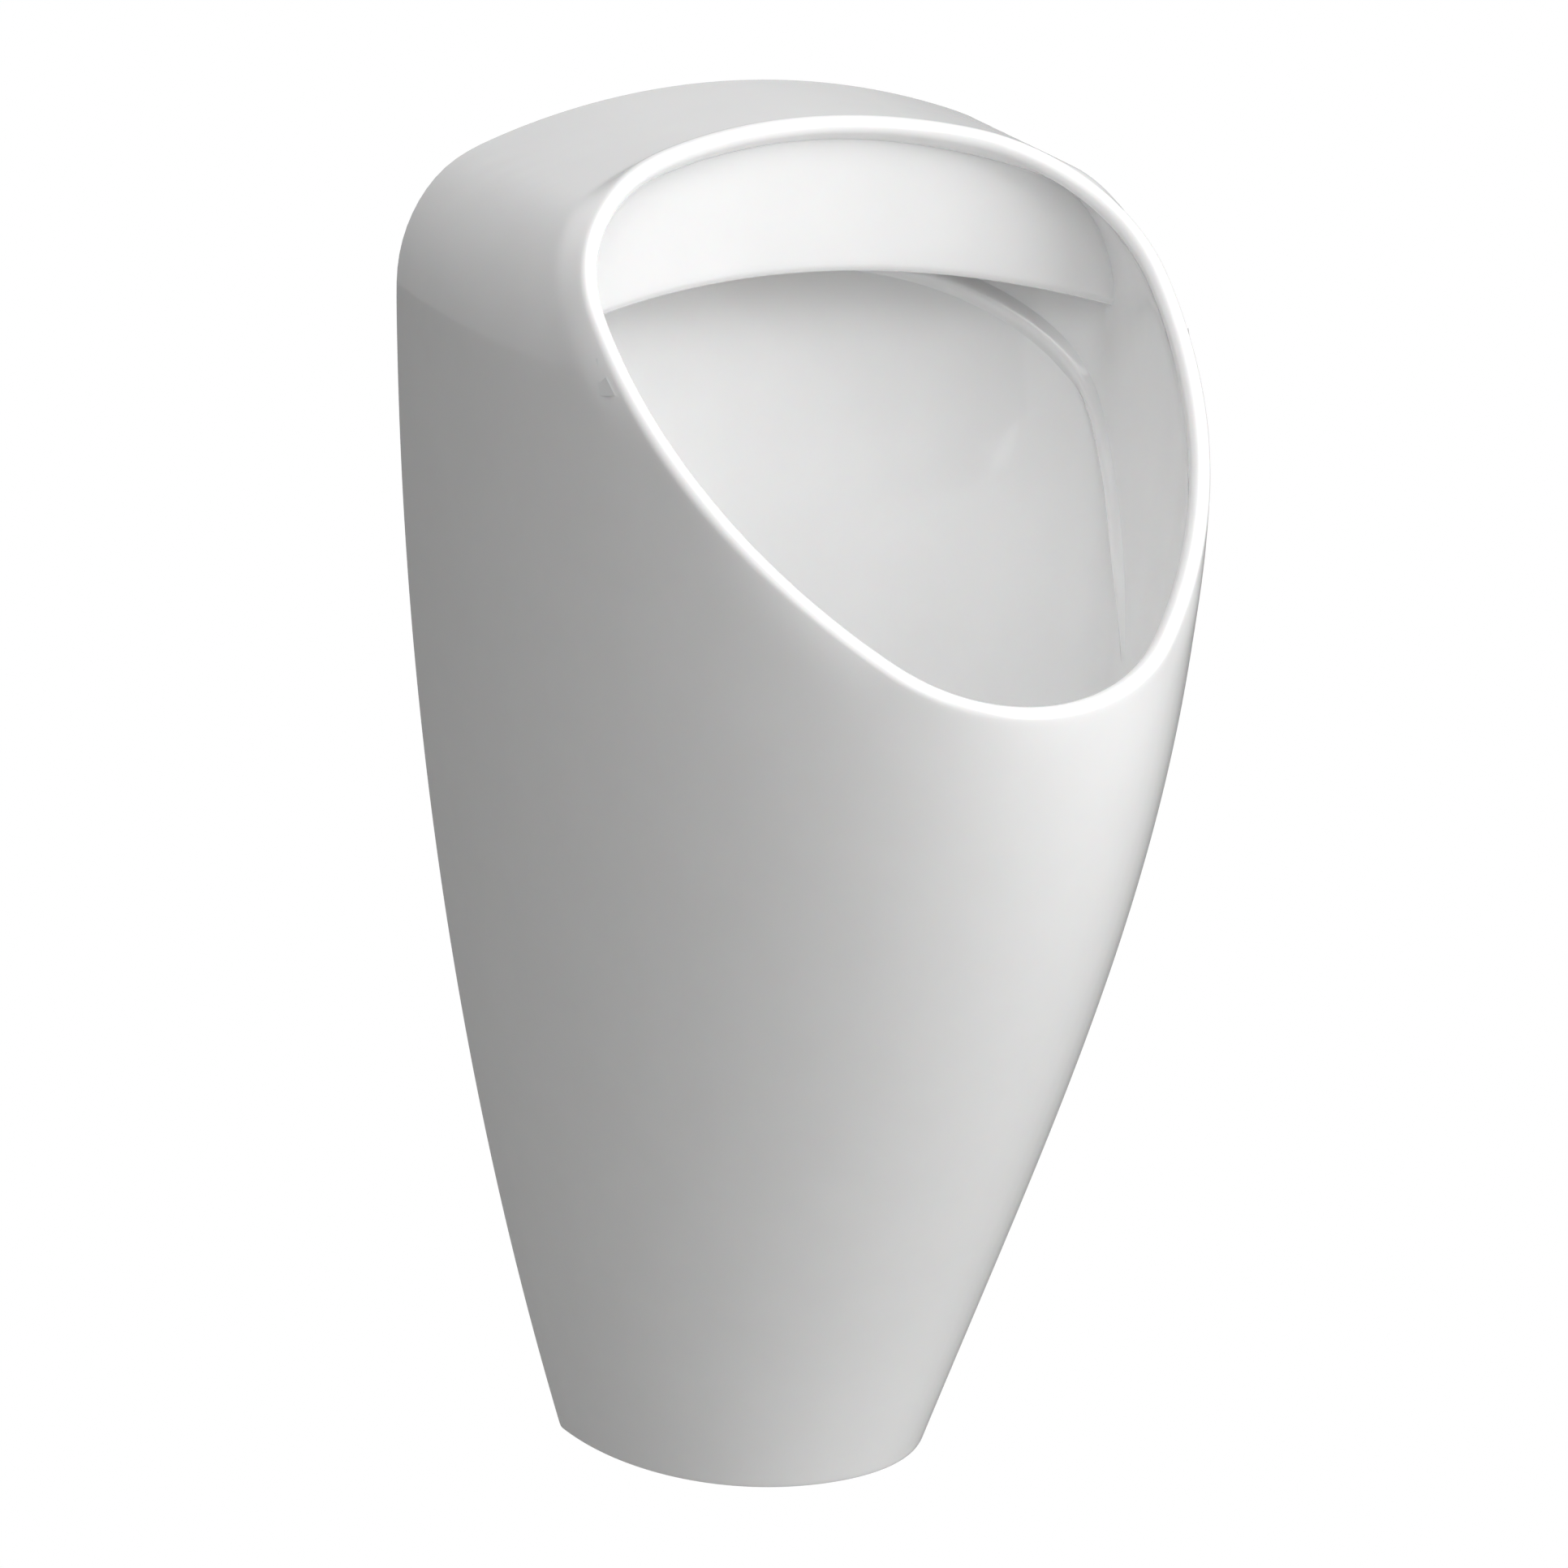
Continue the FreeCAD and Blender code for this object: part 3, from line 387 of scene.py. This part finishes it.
def makeHood():
    # a curtain, hollow in plan, that runs out of the bead at the top of the mouth and ends in a soft arch
    tilt = hood["lean"] / (form["height"] - hood["edge"])
    hub = -hood["depth"] - hood["planRadius"]
    upper = slice(int(np.argmax(rim[:, 0])), None)
    wall, soft, bend = hood["wall"], hood["softEdge"], hood["blend"]
    columns = []
    for x in np.linspace(-hood["reach"], hood["reach"], hood["columns"]):
        edge = hood["edge"] - hood["archRadius"] + math.sqrt(hood["archRadius"] ** 2 - x ** 2)

        def frontAt(z):
            radius = hood["planRadius"] - tilt * (z - hood["edge"])
            return hub + math.sqrt(radius ** 2 - x ** 2)

        # as high as it goes inside the skin
        z = np.linspace(edge, form["height"] + 15, 200)
        inside = formGap(np.array([(x, frontAt(h), h) for h in z]), form["skin"] * hood["inSkin"]) < 0
        top = z[inside][-1] if inside.any() else edge + 1

        # the upper part, straight up at the sides and bent forward into the bead between them
        beadY, beadZ = (np.interp(abs(x), rim[upper, 0][::-1], beadCentre[upper, i][::-1]) for i in (1, 2))
        share = np.clip((hood["blendEnd"] - abs(x)) / (hood["blendEnd"] - hood["blendFull"]), 0, 1)
        share = share * share * (3 - 2 * share)
        join = min(top - 1, beadZ - bend)
        first, last = np.array([x, beadY, beadZ]), np.array([x, frontAt(join), join])
        turn = np.array([x, frontAt(beadZ - bend * 0.45), beadZ - bend * 0.45])
        rows = []
        for t in np.linspace(0, 1, hood["blendRows"])[:-1]:
            height = top + (join - top) * t
            plain = np.array([x, frontAt(height), height])
            curved = first * (1 - t) ** 2 + turn * 2 * t * (1 - t) + last * t ** 2
            rows.append(plain + (curved - plain) * share)

        # down the front, round the soft edge and up the back
        heights = np.linspace(join, edge + soft, hood["frontRows"])
        rows += [(x, frontAt(h), h) for h in heights]
        for angle in np.radians(np.linspace(20, 160, hood["edgeRows"])):
            rows.append((x, frontAt(edge) + wall / 2 - math.cos(angle) * wall / 2,
                         edge + soft - math.sin(angle) * soft))
        rows += [(x, frontAt(h) + wall, h) for h in heights[::-1]]
        rows.append((x, frontAt(top) + wall, top))
        columns.append(place(rows))
    mold = bmesh.new()
    skinOver(mold, columns)
    return refine(makeObject("china_hood", mold))


ledge = {
    "top": 574, "end": 397, "reach": 162, "bulge": 16, "width": 8, "height": 4.6,
    "inFrom": 4, "pastEnd": 24, "fade": 0.22, "sunk": 0.6, "foot": 0.5,
    "arcSteps": 70, "closer": 1.8, "columns": 90, "rows": 13,
}


def makeLedge():
    # the flush ledge: a low ridge on the wall of the bowl, dying away at its ends
    top = np.array([-bowl["back"], ledge["top"]], float)
    low = np.array([-ledge["reach"], ledge["end"] - ledge["pastEnd"]], float)
    chord = low - top
    out = unit(np.array([chord[1], -chord[0]]))
    radius = (np.linalg.norm(chord) ** 2 / 4 + ledge["bulge"] ** 2) / (2 * ledge["bulge"])
    centre = (top + low) / 2 - out * (radius - ledge["bulge"])
    first, last = (math.atan2(*(spot - centre)[::-1]) for spot in (top, low))
    angle = first + (last - first) * np.linspace(0, 1, ledge["arcSteps"]) ** ledge["closer"]

    # the arc seen from the side, carried out to the wall of the bowl
    radius -= ledge["inFrom"]
    y, z = centre[0] + radius * np.cos(angle), centre[1] + radius * np.sin(angle)
    origin = np.stack([angle * 0, y, z], axis=1)
    path = drop(origin, origin + np.array([60.0, 0, 0]), cavityGap)
    path[0] = (0, -bowl["back"], ledge["top"] - 3)
    path = evenly(path, ledge["columns"])
    path = np.concatenate([(path * np.array([-1, 1, 1]))[:0:-1], path])

    inward = -slopeOf(cavityGap, path)
    aside = unit(np.cross(inward, unit(np.gradient(path, axis=0))))
    ends = np.abs(np.linspace(-1, 1, len(path)))
    fade = np.clip((1 - ends) / ledge["fade"], 0, 1)
    fade = fade * fade * (3 - 2 * fade)
    loops = []
    for k in np.linspace(-1, 1, ledge["rows"]):
        rise = ledge["height"] * (0.5 + 0.5 * math.cos(math.pi * k)) - ledge["foot"]
        lift = rise * fade - ledge["sunk"] * (1 - fade)
        loops.append(place(path + aside * k * ledge["width"] + inward * lift[:, None]))
    mold = bmesh.new()
    skinOver(mold, loops, closeRound=False)
    return refine(makeObject("china_ledge", mold))


# What the china's other pieces already show, and so is left off its back.
unseen = {
    "nearSkin": 0.7, "nearBead": 7, "nearBowl": 1.2,
    "hoodDepth": 60, "hoodFoot": 560, "hoodHalf": 122,
    "edgeWidth": 9.3, "edgeDepth": 0.05, "sharp": 32,
}


def makeBack():
    # the faces that look at the wall: skirt lining, back of the bowl, hanging lugs and lower rail
    mold = bmesh.new()
    mold.from_mesh(frame["nodes"]["ceramic_body"].data)
    bmesh.ops.remove_doubles(mold, verts=mold.verts, dist=1e-6)
    faces = list(mold.faces)
    centres = np.array([face.calc_center_median() for face in faces]) * 1000 + np.array([0, 0, wallDatum])
    x, y, z = np.abs(centres[:, 0]), centres[:, 1], centres[:, 2]
    shell = formGap(centres)
    wholeRim = np.concatenate([beadCentre, beadCentre * np.array([-1, 1, 1])])
    fromPlane = np.abs((centres - lip) @ rimNormal)
    near = unseen["nearBead"]
    onBead = np.array([gap < near + 1 and np.min(np.linalg.norm(wholeRim - spot, axis=1)) < near
                       for spot, gap in zip(centres, fromPlane)])
    inBowl = (cavityGap(centres) < unseen["nearBowl"]) & (z > bowl["floor"] - bowl["floorWall"])
    underHood = (y < -unseen["hoodDepth"]) & (z > unseen["hoodFoot"]) & (x < unseen["hoodHalf"])
    onEdge = (shell > -unseen["edgeWidth"]) & ((y > -unseen["edgeDepth"]) | (z < unseen["edgeDepth"]))
    off = (shell > -unseen["nearSkin"]) | onBead | inBowl | underHood | onEdge
    bmesh.ops.delete(mold, geom=[face for face, gone in zip(faces, off) if gone], context="FACES")
    for edge in mold.edges:
        edge.smooth = len(edge.link_faces) == 2 and edge.calc_face_angle(0) < math.radians(unseen["sharp"])
    back = makeObject("china_back", mold)
    shading = back.modifiers.new("even shading", "WEIGHTED_NORMAL")  # flats stay flat up to their edges
    shading.keep_sharp = True
    return back


print("building the china")
china = [makeBowl(), makeHood(), makeLedge(), makeBack()]

# The finishes, with sizes in millimetres: colour and roughness drift in soft patches, and each bump is a
# pattern's size, detail, roughness, stretch, strength and depth.
even = (1, 1, 1)
# The grain of a moulded or cut surface is under 0.1 mm, so it is drawn 1.4 mm wide to show at all.
mouldGrain = (1.43, 3, 0.5, even, 0.06, 0.2)
finishLooks = {
    # vitreous china, slip-cast and glazed: a thick clear gloss that ripples slowly over a white body
    "glazed_china": {
        "name": "glazed vitreous china", "colours": ("#F3F3F3", "#F8F8F8"),
        "patch": 33.3, "rough": (0.05, 0.11),
        "bumps": [(111, 1.5, 0.5, even, 0.12, 1.6), (4.17, 2, 0.5, even, 0.04, 0.1)],
        "sockets": {"IOR": 1.52, "Coat Weight": 0.35, "Coat Roughness": 0.03,
                    "Subsurface Weight": 0.08, "Subsurface Scale": 0.004},
    },
    # pressed steel, zinc plated: cold grey with cloudy, half-dull patches
    "zinc_plated_steel": {
        "name": "zinc plated steel", "colours": ("#9FA3A6", "#BFC3C6"),
        "patch": 71.4, "rough": (0.28, 0.45),
        "bumps": [(28.6, 6, 0.6, even, 0.05, 0.2)], "sockets": {"Metallic": 1.0},
    },
    # EPDM rubber, cut from sheet: dull black that hardly shines
    "pad_rubber": {
        "name": "EPDM rubber pad", "colours": ("#18191A", "#222324"),
        "patch": 50, "rough": (0.62, 0.8),
        "bumps": [mouldGrain], "sockets": {"Specular IOR Level": 0.3},
    },
    # natural nylon, moulded: warm white with a soft shine
    "white_nylon": {
        "name": "natural nylon", "colours": ("#DAD6C9", "#E4E1D6"),
        "patch": 50, "rough": (0.35, 0.5),
        "bumps": [mouldGrain], "sockets": {"Specular IOR Level": 0.5},
    },
    # EPDM rubber, moulded: black with a faint bloom
    "black_rubber": {
        "name": "EPDM rubber", "colours": ("#131415", "#1D1E1F"),
        "patch": 50, "rough": (0.55, 0.75),
        "bumps": [mouldGrain], "sockets": {"Specular IOR Level": 0.3},
    },
    # brass, turned from bar: yellow metal with fine rings, drawn coarser than they are so that they show
    "brass": {
        "name": "turned brass", "colours": ("#A8823F", "#C09A55"),
        "patch": 71.4, "rough": (0.24, 0.4),
        "bumps": [(11.1, 6, 0.6, (1, 8, 1), 0.05, 0.2)], "sockets": {"Metallic": 1.0},
    },
    # brass under chrome plate, polished: a near mirror
    "chromed_brass": {
        "name": "chrome plate", "colours": ("#C9CCCF", "#D8DADC"),
        "patch": 71.4, "rough": (0.05, 0.12),
        "bumps": [(50, 6, 0.6, even, 0.01, 0.2)], "sockets": {"Metallic": 1.0},
    },
    # stainless steel sheet, brushed: lines one way, drawn 0.3 mm apart, coarser than they are, to show
    "stainless_steel": {
        "name": "brushed stainless steel", "colours": ("#A9A9A7", "#BDBDBB"),
        "patch": 71.4, "rough": (0.2, 0.34),
        "bumps": [(4.17, 6, 0.6, (1, 14, 1), 0.05, 0.2)], "sockets": {"Metallic": 1.0},
    },
    # polypropylene, moulded: clean white with a low, waxy shine
    "white_polypropylene": {
        "name": "white polypropylene", "colours": ("#E2E2DF", "#EBEBE9"),
        "patch": 50, "rough": (0.28, 0.42),
        "bumps": [mouldGrain], "sockets": {"Specular IOR Level": 0.5},
    },
    # polypropylene pipe, drawn: plain grey, a little duller than the mouldings
    "grey_pipe": {
        "name": "grey polypropylene pipe", "colours": ("#6C7173", "#787D7F"),
        "patch": 50, "rough": (0.34, 0.5),
        "bumps": [mouldGrain], "sockets": {"Specular IOR Level": 0.5},
    },
}


def linear(code):
    # an sRGB hex colour as linear values
    parts = [int(code[i:i + 2], 16) / 255 for i in (1, 3, 5)]
    return [c / 12.92 if c <= 0.04045 else ((c + 0.055) / 1.055) ** 2.4 for c in parts] + [1.0]


def newMaterial(name):
    material = bpy.data.materials.new(name)
    material.use_nodes = True
    tree = material.node_tree
    tree.nodes.clear()
    output = tree.nodes.new("ShaderNodeOutputMaterial")
    shader = tree.nodes.new("ShaderNodeBsdfPrincipled")
    tree.links.new(shader.outputs["BSDF"], output.inputs["Surface"])
    return material, tree, shader


def addNode(tree, kind, inputs=None, **settings):
    node = tree.nodes.new(kind)
    for key, setting in settings.items():
        setattr(node, key, setting)
    for key, source in (inputs or {}).items():
        if isinstance(source, bpy.types.NodeSocket):
            tree.links.new(source, node.inputs[key])
        else:
            node.inputs[key].default_value = source
    return node


def makeFinish(look):
    material, tree, shader = newMaterial(look["name"])
    spots = addNode(tree, "ShaderNodeTexCoord").outputs["Object"]
    patches = addNode(tree, "ShaderNodeTexNoise", {"Vector": spots, "Detail": 4.0,
                                                   "Scale": 1000 / look["patch"]})
    dark, light = (linear(code) for code in look["colours"])
    tint = addNode(tree, "ShaderNodeMix", {"Factor": patches.outputs["Fac"]}, data_type="RGBA")
    tint.inputs["A"].default_value, tint.inputs["B"].default_value = dark, light
    low, high = look["rough"]
    gloss = addNode(tree, "ShaderNodeMapRange", {"Value": patches.outputs["Fac"],
                                                 "To Min": low, "To Max": high})
    tree.links.new(tint.outputs["Result"], shader.inputs["Base Color"])
    tree.links.new(gloss.outputs["Result"], shader.inputs["Roughness"])
    relief = None
    for size, detail, roughness, stretch, strength, depth in look["bumps"]:
        mapping = addNode(tree, "ShaderNodeMapping", {"Vector": spots, "Scale": stretch})
        grain = addNode(tree, "ShaderNodeTexNoise", {"Vector": mapping.outputs["Vector"],
                                                     "Scale": 1000 / size, "Detail": detail,
                                                     "Roughness": roughness})
        bump = addNode(tree, "ShaderNodeBump", {"Strength": strength, "Distance": depth * 0.001,
                                                "Height": grain.outputs["Fac"]})
        if relief:
            tree.links.new(relief.outputs["Normal"], bump.inputs["Normal"])
        relief = bump
    tree.links.new(relief.outputs["Normal"], shader.inputs["Normal"])
    for socket, amount in look["sockets"].items():
        shader.inputs[socket].default_value = amount
    return material


print("materials")
finishes = {slot: makeFinish(look) for slot, look in finishLooks.items()}
slots = {part["node"]: part["material_slot"] for part in frame["record"]["subparts"]}
for node, thing in frame["nodes"].items():
    for slot in thing.material_slots:
        slot.material = finishes[slots[node]]

for thing in china:
    thing.data.materials.clear()
    thing.data.materials.append(finishes["glazed_china"])
    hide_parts("ceramic_body")
    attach(thing, "bowl")

print("camera and light")
view = {
    "azimuth": -24.22, "elevation": 14.40, "distance": 3.101, "target": (-0.0362, -0.150, -0.1534),
    "lens": 157.8, "sensor": 36,
}
azimuth, elevation = math.radians(view["azimuth"]), math.radians(view["elevation"])
away = Vector((math.sin(azimuth) * math.cos(elevation), -math.cos(azimuth) * math.cos(elevation),
               math.sin(elevation)))
camera = bpy.data.objects.new("camera", bpy.data.cameras.new("camera"))
camera.data.lens, camera.data.sensor_width = view["lens"], view["sensor"]
camera.data.sensor_fit = "HORIZONTAL"
camera.location = Vector(view["target"]) + away * view["distance"]
camera.rotation_euler = away.to_track_quat("Z", "Y").to_euler()
scene = bpy.context.scene
scene.collection.objects.link(camera)
scene.camera = camera
scene.view_settings.view_transform = "Standard"

# A pale room that is brighter to the right and above, and white where the camera looks straight at it.
room = {"brightSide": (0.904, 0, 0.427), "darkest": 0.058, "brightest": 0.41, "behind": 0.18}
scene.world = bpy.data.worlds.new("studio")
scene.world.use_nodes = True
tree = scene.world.node_tree
sky = tree.nodes["Background"]
rays = addNode(tree, "ShaderNodeLightPath")
direction = addNode(tree, "ShaderNodeTexCoord")
side = addNode(tree, "ShaderNodeVectorMath", {0: direction.outputs["Generated"], 1: room["brightSide"]},
               operation="DOT_PRODUCT")
wash = addNode(tree, "ShaderNodeMapRange", {"Value": side.outputs["Value"],
                                            "From Min": -1.0, "From Max": 1.0,
                                            "To Min": room["darkest"], "To Max": room["brightest"]})
parts = addNode(tree, "ShaderNodeSeparateXYZ", {"Vector": direction.outputs["Generated"]})
wall = addNode(tree, "ShaderNodeMapRange", {"Value": parts.outputs["Y"],
                                            "From Min": 0.2, "From Max": 0.9,
                                            "To Min": 0.0, "To Max": room["behind"]},
               interpolation_type="SMOOTHSTEP")
both = addNode(tree, "ShaderNodeMath", {0: wash.outputs["Result"], 1: wall.outputs["Result"]},
               operation="ADD")
level = addNode(tree, "ShaderNodeMix", {"Factor": rays.outputs["Is Camera Ray"], "A": both.outputs["Value"],
                                        "B": 1.0}, data_type="FLOAT")
tree.links.new(level.outputs["Result"], sky.inputs["Strength"])
sky.inputs["Color"].default_value = (1, 1, 1, 1)

# Soft boxes round the bowl: degrees from straight in front (to the right), degrees up, and watts.
softBoxes = {
    "low front light": (25, 15, 22.5),
    "right light": (62, 18, 21),
    "high front light": (0, 45, 18.5),
    "overhead light": (20, 78, 16.5),
    "left fill": (-30, 25, 13),
}
studio = {"aim": (0, -0.15, -0.1), "distance": 2.6, "size": 1.9}

for name, (turn, rise, power) in softBoxes.items():
    turn, rise = math.radians(turn), math.radians(rise)
    towards = Vector((math.sin(turn) * math.cos(rise), -math.cos(turn) * math.cos(rise), math.sin(rise)))
    lamp = bpy.data.lights.new(name, "AREA")
    lamp.shape, lamp.size, lamp.energy = "SQUARE", studio["size"], power
    thing = bpy.data.objects.new(name, lamp)
    thing.location = Vector(studio["aim"]) + towards * studio["distance"]
    thing.rotation_euler = towards.to_track_quat("Z", "Y").to_euler()
    scene.collection.objects.link(thing)

ground = {"colour": "#B4B4B3", "half": 6, "below": 0.35}  # metres, and metres under the bottom edge
mold = bmesh.new()
bmesh.ops.create_grid(mold, x_segments=1, y_segments=1, size=ground["half"])
bmesh.ops.translate(mold, verts=mold.verts, vec=(0, 0, -wallDatum * 0.001 - ground["below"]))
floor = makeObject("floor", mold, smooth=False)
material, tree, shader = newMaterial("pale floor")
shader.inputs["Base Color"].default_value = linear(ground["colour"])
shader.inputs["Roughness"].default_value = 0.8
pale = addNode(tree, "ShaderNodeEmission", {"Color": (1, 1, 1, 1), "Strength": 1.0})
rays = addNode(tree, "ShaderNodeLightPath")
cover = addNode(tree, "ShaderNodeMixShader", {0: rays.outputs["Is Camera Ray"], 1: shader.outputs["BSDF"],
                                              2: pale.outputs["Emission"]})
# looked at from below, the floor lets the underside of the bowl be seen
underside = addNode(tree, "ShaderNodeNewGeometry")
clear = addNode(tree, "ShaderNodeBsdfTransparent")
oneSided = addNode(tree, "ShaderNodeMixShader", {0: underside.outputs["Backfacing"],
                                                 1: cover.outputs["Shader"], 2: clear.outputs["BSDF"]})
tree.links.new(oneSided.outputs["Shader"], tree.nodes["Material Output"].inputs["Surface"])
floor.data.materials.append(material)

print("finishing")
